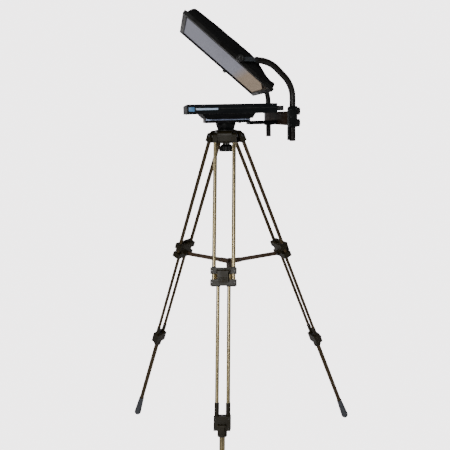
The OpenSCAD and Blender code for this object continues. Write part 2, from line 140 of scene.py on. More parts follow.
def make_floor():
    floor_paint, tree, shader = new_material("floor")
    cloud = cloudy(tree, object_place(tree), 1.5, 2)
    tone = mixed(tree, cloud, (0.88, 0.86, 0.865, 1), (0.92, 0.905, 0.91, 1))
    set_shader(tree, shader, Base_Color=tone, Roughness=0.75)
    white_to_camera(tree, shader, shader_node(tree, "Emission", studio_white))
    half_width, near, far, bend, top = 9.0, -9.0, 3.2, 1.6, 7.0
    outline = [(near, 0.0), (far, 0.0)]
    for step in range(1, 13):
        angle = math.pi / 2 * step / 12
        outline.append((far + bend * math.sin(angle), bend * (1 - math.cos(angle))))
    outline.append((far + bend, top))
    shape = bmesh.new()
    rows = [[shape.verts.new((side * half_width, y, z)) for side in (-1, 1)] for y, z in outline]
    for before, after in zip(rows, rows[1:]):
        shape.faces.new((before[0], before[1], after[1], after[0]))
    mesh = bpy.data.meshes.new("floor")
    shape.to_mesh(mesh)
    shape.free()
    for polygon in mesh.polygons:
        polygon.use_smooth = True
    mesh.materials.append(floor_paint)
    floor = bpy.data.objects.new("floor", mesh)
    bpy.context.scene.collection.objects.link(floor)


def soft_panel(name, place, aim, size, power, roll=0):
    data = bpy.data.lights.new(name, "AREA")
    data.shape = "RECTANGLE"
    data.size, data.size_y = size
    data.energy = power
    panel = bpy.data.objects.new(name, data)
    direction = Vector(aim) - Vector(place)
    aimed = Matrix.Translation(place) @ direction.to_track_quat("-Z", "Y").to_matrix().to_4x4()
    panel.matrix_world = aimed @ Matrix.Rotation(math.radians(roll), 4, "Z")
    panel.visible_camera = False
    bpy.context.scene.collection.objects.link(panel)


def make_light():
    world = bpy.data.worlds.new("sky")
    world.use_nodes = True
    tree = world.node_tree
    dim = tree.nodes["Background"]
    dim.inputs["Color"].default_value = (1.0, 0.985, 0.99, 1)
    dim.inputs["Strength"].default_value = 0.1
    white_to_camera(tree, dim, shader_node(tree, "Background", studio_white))
    bpy.context.scene.world = world
    soft_panel("key", place=(-1.5, -3.2, 2.5), aim=(0, 0, 0.9), size=(0.9, 1.8), power=80)
    soft_panel("fill", place=(2.2, -2.4, 1.5), aim=(0, 0, 1.0), size=(0.7, 1.6), power=8)
    for side in (-1, 1):
        place = (side * 2.8, 2.4, 2.2)
        soft_panel(f"back_{side}", place, aim=(0, 0, 1.1), size=(0.9, 1.8), power=34)
    soft_panel(
        "glass_card", place=(-0.28, 3.0, 1.34), aim=(0, 0, 1.5), size=(1.35, 0.3), power=0.85, roll=40,
    )


make_floor()
make_light()


# The legs are three alike: cast fittings under black paint, twin tubes of drawn and
# anodised aluminium in two stages, and a bottom tube on a rubber foot. Cast locks join the
# stages, each with a lever that clamps the tubes in plastic bushings.

# How far the twin tubes stand from a leg's middle, and heights measured down from its hinge
outer_spread, inner_spread = 0.036, 0.020
head_mouth = 0.025
mid_lock_top, mid_lock_bottom = 0.504, 0.570
lower_lock_top, lower_lock_bottom = 0.9785, 1.0835


def opaque(colour, gain=1.0):
    return (colour[0] * gain, colour[1] * gain, colour[2] * gain, 1)


def ranged(tree, value, low, high, to_low, to_high):
    inputs = {"Value": value, "From Min": low, "From Max": high, "To Min": to_low, "To Max": to_high}
    return shader_node(tree, "MapRange", inputs).outputs["Result"]


def math_of(tree, operation, first, second):
    made = shader_node(tree, "Math", operation=operation)
    for index, value in enumerate((first, second)):
        if isinstance(value, bpy.types.NodeSocket):
            tree.links.new(value, made.inputs[index])
        else:
            made.inputs[index].default_value = value
    return made.outputs["Value"]


def bumped(tree, height, distance, strength=1.0, normal=None):
    inputs = {"Height": height, "Distance": distance, "Strength": strength}
    if normal:
        inputs["Normal"] = normal
    return shader_node(tree, "Bump", inputs).outputs["Normal"]


def rounded_edges(tree, radius):
    return shader_node(tree, "Bevel", {"Radius": radius}, samples=4).outputs["Normal"]


# Gives 1 on an edge and 0 on a flat face.
def edge_share(tree, rounded):
    flat = shader_node(tree, "NewGeometry").outputs["Normal"]
    both = shader_node(tree, "VectorMath", {0: rounded, 1: flat}, operation="DOT_PRODUCT")
    return ranged(tree, both.outputs["Value"], 0.8, 0.98, 1, 0)


# Paint or powder coat on metal: a fine pebbled surface, faint handling marks that change
# the gloss, and the paint rubbed thin on the edges.
def coat(name, colour, rough, grain, pebble, worn, wear, shine=0.5):
    made, tree, shader = new_material(name)
    place = object_place(tree)
    marks = cloudy(tree, place, 22, 6)
    rounded = rounded_edges(tree, 0.0015)
    handled = ranged(tree, marks, 0.45, 0.62, 0, wear)
    rubbed = math_of(tree, "MULTIPLY", edge_share(tree, rounded), handled)
    tone = mixed(tree, marks, opaque(colour, 0.75), opaque(colour, 1.3))
    set_shader(
        tree, shader,
        Base_Color=mixed(tree, rubbed, tone, opaque(worn)),
        Roughness=ranged(tree, marks, 0.3, 0.7, rough - 0.1, rough + 0.14),
        Specular_IOR_Level=shine,
        Normal=bumped(tree, cloudy(tree, place, grain, 2), pebble, 0.8, rounded),
    )
    return made


def paint_nodes(material, *names):
    for name in names:
        mesh = nodes[name].data
        mesh.materials.clear()
        mesh.materials.append(material)


casting = coat(
    "casting_paint", (0.0165, 0.0125, 0.0042), rough=0.42, grain=700, pebble=0.0002,
    worn=(0.17, 0.125, 0.05), wear=0.7, shine=0.25,
)


# A leg's own directions are out from the tripod's axis, across, and up along the leg.
def leg_place(k):
    fold = joints[f"leg_fold_{k}"]
    across = Vector(fold["axis"])
    along = Vector(joints[f"middle_slide_{k}"]["axis"])
    out = across.cross(along)
    turn = Matrix((out, across, along)).transposed().to_4x4()
    return Matrix.Translation(fold["pos_m"]) @ turn


# Drawn and anodised tube: fine lines and faint colour bands along its length.
def anodised(name, colour, place):
    made, tree, shader = new_material(name)
    along = object_place(tree, Rotation=tuple(place.to_3x3().inverted().to_euler()))
    drawn = shader_node(tree, "Mapping", {"Vector": along, "Scale": (500, 500, 6)}).outputs["Vector"]
    banded = shader_node(tree, "Mapping", {"Vector": along, "Scale": (20, 20, 9)}).outputs["Vector"]
    lines = cloudy(tree, drawn, 1, 3)
    bands = cloudy(tree, banded, 1, 4)
    tone = mixed(tree, bands, opaque(colour, 0.7), opaque(colour, 1.25))
    set_shader(
        tree, shader,
        Base_Color=mixed(tree, ranged(tree, lines, 0.45, 0.8, 0, 0.1), tone, opaque(colour, 1.3)),
        Metallic=0.9,
        Roughness=ranged(tree, bands, 0.3, 0.7, 0.22, 0.42),
        Normal=bumped(tree, lines, 0.00002, 0.15),
    )
    return made


# Moulded plastic: a soft spark-eroded grain and fine dust in patches.
def moulded(name, colour, rough, grain=1400, dust=0.04, shine=0.5):
    made, tree, shader = new_material(name)
    place = object_place(tree)
    patches = cloudy(tree, place, 35, 5)
    rounded = rounded_edges(tree, 0.0009)
    rubbed = math_of(tree, "MULTIPLY", edge_share(tree, rounded), 0.12)
    settled = ranged(tree, patches, 0.5, 0.75, 0, dust)
    tone = mixed(tree, settled, opaque(colour), (0.4, 0.39, 0.37, 1))
    set_shader(
        tree, shader,
        Base_Color=mixed(tree, rubbed, tone, (0.3, 0.3, 0.3, 1)),
        Roughness=ranged(tree, patches, 0.3, 0.7, rough - 0.08, rough + 0.12),
        Specular_IOR_Level=shine,
        Normal=bumped(tree, cloudy(tree, place, grain, 3), 0.00008, 0.7, rounded),
    )
    return made


leg_plastic = moulded("leg_plastic", (0.018, 0.018, 0.018), rough=0.55)


# Turns a profile of (radius, height) round the Z axis of place. Radius 0 closes the end.
def turned(shape, profile, place, steps=40):
    rings = []
    for radius, height in profile:
        if radius < 1e-6:
            rings.append([shape.verts.new(place @ Vector((0, 0, height)))])
            continue
        ring = []
        for step in range(steps):
            angle = 2 * math.pi * step / steps
            spot = Vector((radius * math.cos(angle), radius * math.sin(angle), height))
            ring.append(shape.verts.new(place @ spot))
        rings.append(ring)
    for lower, upper in zip(rings, rings[1:]):
        for step in range(steps):
            after = (step + 1) % steps
            corners = [
                lower[step % len(lower)], lower[after % len(lower)],
                upper[after % len(upper)], upper[step % len(upper)],
            ]
            distinct = list(dict.fromkeys(corners))
            if len(distinct) > 2:
                shape.faces.new(distinct)


# Closes the seams of a shape and points its faces outwards.
def outward(shape):
    bmesh.ops.remove_doubles(shape, verts=shape.verts, dist=0.000001)
    bmesh.ops.recalc_face_normals(shape, faces=shape.faces)
    return shape


# A finished piece is one mesh at the origin, in one material, riding on one body.
def placed(name, mesh, body):
    for polygon in mesh.polygons:
        polygon.use_smooth = True
    mesh.set_sharp_from_angle(angle=math.radians(35))
    piece = bpy.data.objects.new(name, mesh)
    bpy.context.scene.collection.objects.link(piece)
    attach(piece, body)
    return piece


def finished(name, shape, body, material):
    mesh = bpy.data.meshes.new(name)
    shape.to_mesh(mesh)
    shape.free()
    mesh.materials.append(material)
    return placed(name, mesh, body)


def tube_bushing(shape, place, y, s, inside, outside, downward=False):
    profile = [
        (inside, 0.003), (outside - 0.0008, 0.003), (outside, 0.0022), (outside, 0.0004),
        (outside - 0.0006, -0.0006), (inside, -0.0006), (inside, 0.003),
    ]
    flip = Matrix.Rotation(math.pi if downward else 0, 4, "X")
    turned(shape, profile, place @ Matrix.Translation((0, y, -s)) @ flip, 32)


def bushings_and_plug(k, place):
    mid = bmesh.new()
    for y in (-outer_spread, outer_spread):
        tube_bushing(mid, place, y, head_mouth, inside=0.0076, outside=0.0086, downward=True)
        tube_bushing(mid, place, y, mid_lock_top, inside=0.0076, outside=0.0089)
        tube_bushing(mid, place, y, mid_lock_bottom, inside=0.0076, outside=0.0089, downward=True)
    for y in (-inner_spread, inner_spread):
        tube_bushing(mid, place, y, mid_lock_bottom, inside=0.0069, outside=0.0088, downward=True)
    finished(f"upper_bushings_{k}", outward(mid), f"leg_{k}", leg_plastic)

    low = bmesh.new()
    for y in (-inner_spread, inner_spread):
        tube_bushing(low, place, y, lower_lock_top, inside=0.0068, outside=0.0084)
    tube_bushing(low, place, 0, lower_lock_bottom, inside=0.0102, outside=0.0166, downward=True)
    finished(f"lower_bushings_{k}", outward(low), f"middle_{k}", leg_plastic)

    plug, radius, plug_station = bmesh.new(), 0.0097, 1.0225
    profile = [
        (radius * 0.6, -0.004), (radius, -0.003), (radius, 0.0012), (radius * 0.85, 0.003), (0, 0.0034),
    ]
    turned(plug, profile, place @ Matrix.Translation((0, 0, -plug_station)), 28)
    finished(f"bottom_tube_plug_{k}", outward(plug), f"bottom_{k}", leg_plastic)


# Turned or drawn bare metal, with fine lines across it and a little stain.
def bare_metal(name, colour, rough):
    made, tree, shader = new_material(name)
    place = object_place(tree)
    lines = cloudy(tree, object_place(tree, Scale=(60, 60, 2600)), 1, 2)
    stain = cloudy(tree, place, 60, 5)
    set_shader(
        tree, shader,
        Base_Color=mixed(tree, stain, opaque(colour, 0.8), opaque(colour, 1.1)),
        Metallic=1.0,
        Roughness=ranged(tree, stain, 0.3, 0.7, rough - 0.08, rough + 0.15),
        Normal=bumped(tree, lines, 0.00004, 0.5, rounded_edges(tree, 0.0006)),
    )
    return made


black_screws = bare_metal("blackened_screw", (0.09, 0.09, 0.09), rough=0.38)


def facing_matrix(point, facing):
    turn = Vector(facing).normalized().to_track_quat("Z", "Y").to_matrix().to_4x4()
    return Matrix.Translation(point) @ turn


def pin_head(shape, place, x, y, z, radius, height, side):
    profile = [(radius, -0.0005), (radius, height * 0.6), (radius * 0.8, height), (0, height * 1.1)]
    aim = place.to_3x3() @ Vector((0, side, 0))
    turned(shape, profile, facing_matrix(place @ Vector((x, y * side, z)), aim), 24)


# The ends of the hinge pin, and of the lever's and the spreader arm's pins in the lock
def leg_pin_heads(k, place):
    steel = bmesh.new()
    for side in (-1, 1):
        pin_head(steel, place, 0, 0.047, 0, radius=0.0055, height=0.0018, side=side)
        pin_head(steel, place, 0.023, 0.0245, -0.518, radius=0.0036, height=0.0014, side=side)
        pin_head(steel, place, -0.027, 0.0085, -0.547, radius=0.0042, height=0.0016, side=side)
    finished(f"pin_heads_{k}", outward(steel), f"leg_{k}", black_screws)


# Copies a small template onto many places with a geometry node group: each point of a
# helper mesh carries its own facing, and the instances are made real.
def copied(name, template, places, body, material):
    source = bpy.data.meshes.new(name + "_one")
    template.to_mesh(source)
    template.free()
    one = bpy.data.objects.new(name + "_one", source)
    helper = bpy.data.meshes.new(name + "_points")
    helper.from_pydata([tuple(point) for point, _ in places], [], [])
    facing = helper.attributes.new("facing", "FLOAT_VECTOR", "POINT")
    for index, (_, direction) in enumerate(places):
        facing.data[index].vector = Vector(direction).normalized()
    points = bpy.data.objects.new(name + "_points", helper)
    for item in (one, points):
        bpy.context.scene.collection.objects.link(item)

    group = bpy.data.node_groups.new(name + "_copies", "GeometryNodeTree")
    new_socket = group.interface.new_socket
    new_socket("Geometry", in_out="INPUT", socket_type="NodeSocketGeometry")
    template_in = new_socket("Template", in_out="INPUT", socket_type="NodeSocketObject")
    material_in = new_socket("Material", in_out="INPUT", socket_type="NodeSocketMaterial")
    new_socket("Geometry", in_out="OUTPUT", socket_type="NodeSocketGeometry")
    make = group.nodes.new
    start, end = make("NodeGroupInput"), make("NodeGroupOutput")
    fetch, attribute = make("GeometryNodeObjectInfo"), make("GeometryNodeInputNamedAttribute")
    attribute.data_type = "FLOAT_VECTOR"
    attribute.inputs["Name"].default_value = "facing"
    turn, place = make("FunctionNodeAlignRotationToVector"), make("GeometryNodeInstanceOnPoints")
    turn.axis = "Z"
    real, coated = make("GeometryNodeRealizeInstances"), make("GeometryNodeSetMaterial")
    for output, target in (
        (start.outputs["Geometry"], place.inputs["Points"]),
        (start.outputs["Template"], fetch.inputs["Object"]),
        (fetch.outputs["Geometry"], place.inputs["Instance"]),
        (attribute.outputs["Attribute"], turn.inputs["Vector"]),
        (turn.outputs["Rotation"], place.inputs["Rotation"]),
        (place.outputs["Instances"], real.inputs["Geometry"]),
        (real.outputs["Geometry"], coated.inputs["Geometry"]),
        (start.outputs["Material"], coated.inputs["Material"]),
        (coated.outputs["Geometry"], end.inputs["Geometry"]),
    ):
        group.links.new(output, target)

    modifier = points.modifiers.new("copies", "NODES")
    modifier.node_group = group
    modifier[template_in.identifier] = one
    modifier[material_in.identifier] = material
    bpy.context.view_layer.update()
    seen = points.evaluated_get(bpy.context.evaluated_depsgraph_get())
    mesh = bpy.data.meshes.new_from_object(seen)
    mesh.name = name
    for item in (one, points):
        bpy.data.objects.remove(item)
    return placed(name, mesh, body)


# A socket-head screw: a low cylinder with a small bevel and a pocket for the key.
def screw_head(radius, height):
    shape = bmesh.new()
    socket = radius * 0.5
    profile = [
        (radius, -height * 0.3), (radius, height * 0.75), (radius * 0.9, height),
        (socket * 1.15, height), (socket, height * 0.9), (socket, height * 0.25), (0, height * 0.2),
    ]
    turned(shape, profile, Matrix.Identity(4), 18)
    return outward(shape)


# Four screws on each broad face of a lock hold its halves together.
def lock_screws(name, place, reach, rows, spread, head, body):
    turn = place.to_3x3()
    places = []
    for side in (1, -1):
        for row in rows:
            for y in (-spread, spread):
                places.append((place @ Vector((side * reach, y, -row)), turn @ Vector((side, 0, 0))))
    copied(name, head, places, body, black_screws)


# A block between two corners with rounded edges, placed by a matrix.
def rounded_block(shape, low, high, place=Matrix.Identity(4), radius=0.001):
    low, high = Vector(low), Vector(high)
    size = high - low
    scaled = Matrix.Translation((low + high) / 2) @ Matrix.Diagonal((*size, 1))
    made = bmesh.ops.create_cube(shape, size=1, matrix=place @ scaled)
    rim = list({edge for vert in made["verts"] for edge in vert.link_edges})
    bmesh.ops.bevel(shape, geom=rim, offset=radius, segments=2, affect="EDGES", profile=0.5)


# Three finger ridges stand across the free end of each lever.
def lever_ridges(name, place, first, pitch, face, half_size, rounding, body):
    shape = bmesh.new()
    half_width, half_height = half_size
    for row in range(3):
        middle = -(first + row * pitch)
        low = (face[0], -half_width, middle - half_height)
        high = (face[1], half_width, middle + half_height)
        rounded_block(shape, low, high, place, rounding)
    finished(name, shape, body, casting)


# Black rubber, dull and slightly dusty.
def rubbery(name, colour):
    made, tree, shader = new_material(name)
    place = object_place(tree)
    dusty = cloudy(tree, place, 70, 6, 0.7)
    settled = ranged(tree, dusty, 0.45, 0.75, 0, 0.4)
    set_shader(
        tree, shader,
        Base_Color=mixed(tree, settled, opaque(colour), opaque(colour, 2.2)),
        Roughness=ranged(tree, dusty, 0.3, 0.7, 0.62, 0.85),
        Normal=bumped(tree, cloudy(tree, place, 1100, 3), 0.00015, 0.8),
    )
    return made


foot_rubber = rubbery("foot_rubber", (0.06, 0.065, 0.075))


# The foot is moulded with grip grooves, pressed on the bottom tube and worn flat.
def ribbed_foot(k, place):
    top, centre, radius = 1.4562, 1.5602, 0.017
    groove_depth = 0.0013
    profile = [(0.0101, -top), (0.0112, -top), (0.0119, -top - 0.001)]
    for groove in range(6):
        start = top + 0.012 + groove * 0.011
        bulk = 0.012 + 0.005 * (start - top) / (centre - top)
        bottom = bulk - groove_depth
        profile += [(bulk, -start), (bottom, -start - 0.0012)]
        profile += [(bottom, -start - 0.0032), (bulk, -start - 0.0044)]
    for step in range(10):
        angle = math.pi / 2 * step / 9
        profile.append((radius * math.cos(angle), -centre - radius * math.sin(angle)))
    profile[-1] = (0, profile[-1][1])
    shape = bmesh.new()
    turned(shape, profile, place, 48)
    for vert in shape.verts:
        vert.co.z = max(vert.co.z, 0)
    piece = finished(f"ribbed_foot_{k}", outward(shape), f"bottom_{k}", foot_rubber)
    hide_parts(f"foot_{k}")


# The tubes are one bronze, painted with light: the front leg's pale as if lit, the other two legs' dark
# as if in shade.
lit_and_shaded_tube_colours = {1: (0.44, 0.36, 0.2), 2: (0.085, 0.06, 0.03), 3: (0.085, 0.06, 0.03)}
for k, colour in lit_and_shaded_tube_colours.items():
    place = leg_place(k)
    # The colour given here is painted light: lit on the front leg, shaded on the other two.
    tube_paint_with_painted_light = anodised(f"anodised_{k}", colour, place)
    paint_nodes(tube_paint_with_painted_light, f"outer_tubes_{k}", f"inner_tubes_{k}", f"lower_tube_{k}")
    paint_nodes(
        casting, f"leg_head_{k}", f"mid_lock_{k}", f"mid_lever_{k}", f"lower_lock_{k}",
        f"lower_lever_{k}",
    )
    bushings_and_plug(k, place)
    leg_pin_heads(k, place)
    lock_screws(
        f"mid_lock_screws_{k}", place, reach=0.017, rows=(0.5155, 0.5585), spread=0.041,
        head=screw_head(0.0028, 0.0018), body=f"leg_{k}",
    )
    lock_screws(
        f"lower_lock_screws_{k}", place, reach=0.016, rows=(1.026, 1.058), spread=0.0235,
        head=screw_head(0.0026, 0.0016), body=f"middle_{k}",
    )
    lever_ridges(
        f"mid_lever_ridges_{k}", place, first=0.542, pitch=0.005, face=(0.0275, 0.0292),
        half_size=(0.016, 0.0011), rounding=0.0006, body=f"mid_lever_{k}",
    )
    lever_ridges(
        f"lower_lever_ridges_{k}", place, first=1.066, pitch=0.0042, face=(0.0265, 0.028),
        half_size=(0.008, 0.0009), rounding=0.0005, body=f"lower_lever_{k}",
    )
    ribbed_foot(k, place)


# The spreader: a slotted hub on the axis and three flat arms with a raised panel on each
# side, pinned to the legs' middle locks. The hub has a plastic bumper underneath.
arm_bronze = coat(
    "arm_bronze", (0.062, 0.036, 0.019), rough=0.36, grain=700, pebble=0.0001,
    worn=(0.2, 0.14, 0.08), wear=0.5, shine=0.35,
)
paint_nodes(arm_bronze, "spreader_hub", "spreader_arm_1", "spreader_arm_2", "spreader_arm_3")


def spreader_pieces():
    hub_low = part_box("spreader_hub")[0][2]
    middle = hub_low + 0.026
    panel_start, panel_end, panel_half = 0.075, 0.200, 0.0045
    pin_profile = [(0.0036, -0.0005), (0.0036, 0.001), (0.0027, 0.0018), (0, 0.002)]
    pins, bumper = bmesh.new(), bmesh.new()
    upward = Vector((0, 0, 1))
    for k in (1, 2, 3):
        across = Vector(joints[f"leg_fold_{k}"]["axis"])
        out = across.cross(upward)
        turn = Matrix((out, across, upward)).transposed().to_4x4()
        panel = bmesh.new()
        for side in (-1, 1):
            faces = sorted((side * 0.0038, side * 0.0044))
            low = (panel_start, faces[0], middle - panel_half)
            high = (panel_end, faces[1], middle + panel_half)
            rounded_block(panel, low, high, turn, 0.0003)
            centre = out * 0.045 + across * side * 0.0085 + upward * middle
            turned(pins, pin_profile, facing_matrix(centre, across * side), 24)
        finished(f"arm_panel_{k}", panel, f"spreader_arm_{k}", arm_bronze)
    finished("hub_pin_heads", outward(pins), "spreader_hub", black_screws)
    profile = [(0.0135, 0.0005), (0.0135, -0.003), (0.0115, -0.005), (0, -0.0054)]
    turned(bumper, profile, Matrix.Translation((0, 0, hub_low)))
    finished("hub_bumper", outward(bumper), "spreader_hub", leg_plastic)


spreader_pieces()


# The crown: a casting with a bowl and a plastic liner in it, and grey cover plates between
# its three lugs. The hinge pins and the tie-down bolt are dark steel.
cover_grey = coat(
    "cover_grey", (0.05, 0.054, 0.058), rough=0.45, grain=900, pebble=0.0001,
    worn=(0.2, 0.2, 0.2), wear=0.3,
)
dark_steel = bare_metal("dark_steel", (0.2, 0.195, 0.185), rough=0.35)
paint_nodes(casting, "crown")
paint_nodes(dark_steel, "hinge_pins", "tie_down_bolt")
paint_nodes(leg_plastic, "bowl_liner")


def crown_covers():
    inner, outer = 0.0442, 0.0450
    section = ((inner, 1.443), (outer, 1.4438), (outer, 1.4762), (inner, 1.477))
    shape = bmesh.new()
    for k in (1, 2, 3):
        fold = Vector(joints[f"leg_fold_{k}"]["axis"])
        between_lugs = math.atan2(fold.y, fold.x) - math.pi / 2 + math.radians(60)
        rows = []
        for step in range(11):
            angle = between_lugs + math.radians(-20 + 4 * step)
            along = Vector((math.cos(angle), math.sin(angle), 0))
            rows.append([
                shape.verts.new(along * radius + Vector((0, 0, height))) for radius, height in section
            ])
        for before, after in zip(rows, rows[1:]):
            for index in range(len(section) - 1):
                shape.faces.new((before[index], after[index], after[index + 1], before[index + 1]))
        for row in (rows[0], rows[-1]):
            shape.faces.new(row)
    finished("crown_covers", outward(shape), "crown", cover_grey)


crown_covers()


# Hand knobs: fluted plastic, each with a pressed steel disc over its screw and a fine
# moulded ring round it. Where a stud passes through the knob, the disc has a hole.
knob_black = moulded("knob_black", (0.003, 0.003, 0.003), rough=0.45, dust=0.02, shine=0.3)
paint_nodes(
    knob_black, "tie_down_knob", "rail_lock_knob", "near_tilt_knob", "far_tilt_knob",
    "near_upper_knob", "near_lower_knob", "far_upper_knob", "far_lower_knob",
)


def knob_cap(name, body, point, facing, radius, hole=0):
    shape = bmesh.new()
    profile = [
        (radius * 1.35, -0.0004), (radius * 1.35, 0.0007), (radius * 1.2, 0.0007),
        (radius * 1.1, 0.0002), (radius, 0.0002), (radius, 0.0009), (radius * 0.85, 0.0013),
    ]
    profile += [(hole, 0.0013), (hole, -0.0004), profile[0]] if hole else [(0, 0.0015)]
    turned(shape, profile, facing_matrix(point, facing), 32)
    finished(name, outward(shape), body, black_screws)


for side, sign in (("near", -1), ("far", 1)):
    for height in ("upper", "lower"):
        name = f"{side}_{height}_knob"
        low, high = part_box(name)
        centre = (high[0], (low[1] + high[1]) / 2, (low[2] + high[2]) / 2)
        knob_cap(name + "_cap", name, centre, (1, 0, 0), radius=0.0045)
    name = f"{side}_tilt_knob"
    low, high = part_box(name)
    outside = high[1] if sign > 0 else low[1]
    centre = ((low[0] + high[0]) / 2, outside, (low[2] + high[2]) / 2)
    knob_cap(name + "_cap", name, centre, (0, sign, 0), radius=0.0056, hole=0.0043)
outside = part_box("rail_lock_knob")[1][1]
knob_cap("rail_lock_cap", "rail_lock_knob", (0.066, outside, 1.518), (0, 1, 0), radius=0.004)
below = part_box("tie_down_knob")[0][2]
knob_cap("tie_down_cap", "tie_down_knob", (0, 0, below), (0, 0, -1), radius=0.011)


# The head: a half-ball under a base plate, both machined and painted black. An extruded strip runs along
# the plate's near edge, above a row of small screws; its bright blue is a painted highlight.
head_black = coat(
    "head_black", (0.003, 0.0035, 0.0035), rough=0.36, grain=800, pebble=0.00015,
    worn=(0.06, 0.06, 0.055), wear=0.3, shine=0.22,
)
# The strip's pale blue metal is a painted highlight for the light on the plate's bevelled edge.
trim_highlight_metal = bare_metal("trim_highlight_metal", (0.6, 0.7, 0.95), rough=0.36)
paint_nodes(head_black, "half_ball", "base_plate")


def base_trim():
    low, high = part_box("base_plate")
    shape = bmesh.new()
    start = (low[0] + 0.002, low[1] - 0.0012, high[2] - 0.0062)
    end = (high[0] - 0.002, low[1] + 0.001, high[2] - 0.0008)
    rounded_block(shape, start, end, radius=0.0005)
    finished("base_trim", shape, "head", trim_highlight_metal)
    places = []
    for step in range(5):
        places.append((Vector((low[0] + 0.012 + step * 0.037, low[1], high[2] - 0.012)), (0, -1, 0)))
    copied("base_screws", screw_head(0.0018, 0.0012), places, "head", black_screws)


base_trim()


# The crossbar: a brown-black painted box section, with black cast clamps bolted on its ends
# and a black rail screwed to its inner face.
bar_brown = coat(
    "bar_brown", (0.03, 0.015, 0.007), rough=0.5, grain=600, pebble=0.0001,
    worn=(0.16, 0.1, 0.06), wear=0.5, shine=0.06,
)
paint_nodes(bar_brown, "crossbar")
paint_nodes(head_black, "rail", "arm_clamps")


def crossbar_screws():
    low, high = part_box("crossbar")
    clamp_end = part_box("arm_clamps")[1][1]
    places = []
    for y in (-0.03, 0.03):
        places.append((Vector((high[0], y, low[2] + 0.009)), (1, 0, 0)))
    for side in (-1, 1):
        for x in (0.2055, 0.2245):
            for z in (1.5025, 1.5300, 1.5565):
                places.append((Vector((x, side * clamp_end, z)), (0, side, 0)))
        for z in (1.510, 1.543):
            places.append((Vector((high[0], side * (high[1] - 0.012), z)), (1, 0, 0)))
    copied("crossbar_screws", screw_head(0.0025, 0.0018), places, "rail", black_screws)


crossbar_screws()


# The yoke: two bent tubes with a painted finish, a plastic plug in each lower end, and
# grey pivot plates riveted in their upper ends under a clamping ring.
arm_black = coat(
    "arm_black", (0.006, 0.0045, 0.003), rough=0.3, grain=900, pebble=0.00008,
    worn=(0.14, 0.11, 0.08), wear=0.5, shine=0.3,
)
plate_grey = coat(
    "plate_grey", (0.016, 0.02, 0.025), rough=0.4, grain=900, pebble=0.00008,
    worn=(0.2, 0.21, 0.22), wear=0.5, shine=0.4,
)
paint_nodes(arm_black, "yoke_arms")
paint_nodes(plate_grey, "arm_end_plates")


def yoke_pieces():
    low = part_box("yoke_arms")[0]
    arm_x, arm_y, mouth_z = 0.215, 0.206, 1.723
    cap = [
        (0.0088, 0.006), (0.0088, 0.0), (0.0112, 0.0), (0.0112, -0.002), (0.0095, -0.0038),
        (0, -0.0042),
    ]
    ring = [
        (0.0055, -0.0006), (0.0112, -0.0006), (0.0121, 0.0004), (0.0121, 0.0085), (0.0112, 0.0095),
        (0.0104, 0.0095),
    ]
    caps, rings, places = bmesh.new(), bmesh.new(), []
    for side in (-1, 1):
        turned(caps, cap, Matrix.Translation((arm_x, side * arm_y, low[2])))
        turned(rings, ring, facing_matrix((low[0], side * arm_y, mouth_z), (1, 0, 0)))
        for x in (0.045, 0.060, 0.075):
            places.append((Vector((x, side * 0.205, 1.7275)), (0, side, 0)))
    finished("arm_caps", outward(caps), "yoke", knob_black)
    finished("arm_rings", outward(rings), "yoke", knob_black)
    copied("plate_rivets", screw_head(0.0024, 0.0014), places, "yoke", black_screws)


yoke_pieces()


# The monitor: a textured plastic tray and front frame, a glossy panel under them, vents,
# case screws, a blank stripe on the near edge and the sockets' metal shells.
case_black = moulded(
    "case_black", (0.0025, 0.0035, 0.0045), rough=0.5, grain=1500, dust=0.012, shine=0.12,
)
sockets_black = moulded("sockets_black", (0.012, 0.012, 0.012), rough=0.55)
case_underside = 1.547
paint_nodes(case_black, "monitor_back", "monitor_bezel")
paint_nodes(sockets_black, "connector_block")


def screen_glass():
    made, tree, shader = new_material("screen_glass")
    place = object_place(tree)
    smear = cloudy(tree, place, 14, 6)
    cells = shader_node(tree, "TexVoronoi", {"Vector": place, "Scale": 2600}).outputs["Distance"]
    set_shader(
        tree, shader,
        Base_Color=mixed(tree, cells, (0.004, 0.005, 0.007, 1), (0.012, 0.013, 0.017, 1)),
        Roughness=ranged(tree, smear, 0.4, 0.7, 0.06, 0.2),
        Coat_Weight=0.6,
    )
    paint_nodes(made, "lcd_panel")


def circuit_board():
    made, tree, shader = new_material("solder_mask")
    place = object_place(tree)
    bricks = {"Vector": place, "Scale": 160, "Mortar Size": 0.04}
    tracks = shader_node(tree, "TexBrick", bricks).outputs["Fac"]
    set_shader(
        tree, shader,
        Base_Color=mixed(tree, tracks, (0.02, 0.09, 0.04, 1), (0.06, 0.2, 0.1, 1)),
        Roughness=ranged(tree, cloudy(tree, place, 90), 0.3, 0.7, 0.3, 0.5),
        Normal=bumped(tree, tracks, 0.0001),
    )
    paint_nodes(made, "control_board")


def button_caps():
    made, tree, shader = new_material("button_plastic")
    grain = cloudy(tree, object_place(tree), 1800, 3)
    set_shader(
        tree, shader,
        Base_Color=mixed(tree, grain, (0.05, 0.052, 0.055, 1), (0.09, 0.092, 0.095, 1)),
        Roughness=ranged(tree, grain, 0.3, 0.7, 0.35, 0.55),
        Normal=bumped(tree, grain, 0.00005),
    )
    paint_nodes(made, "power_button", "menu_button")


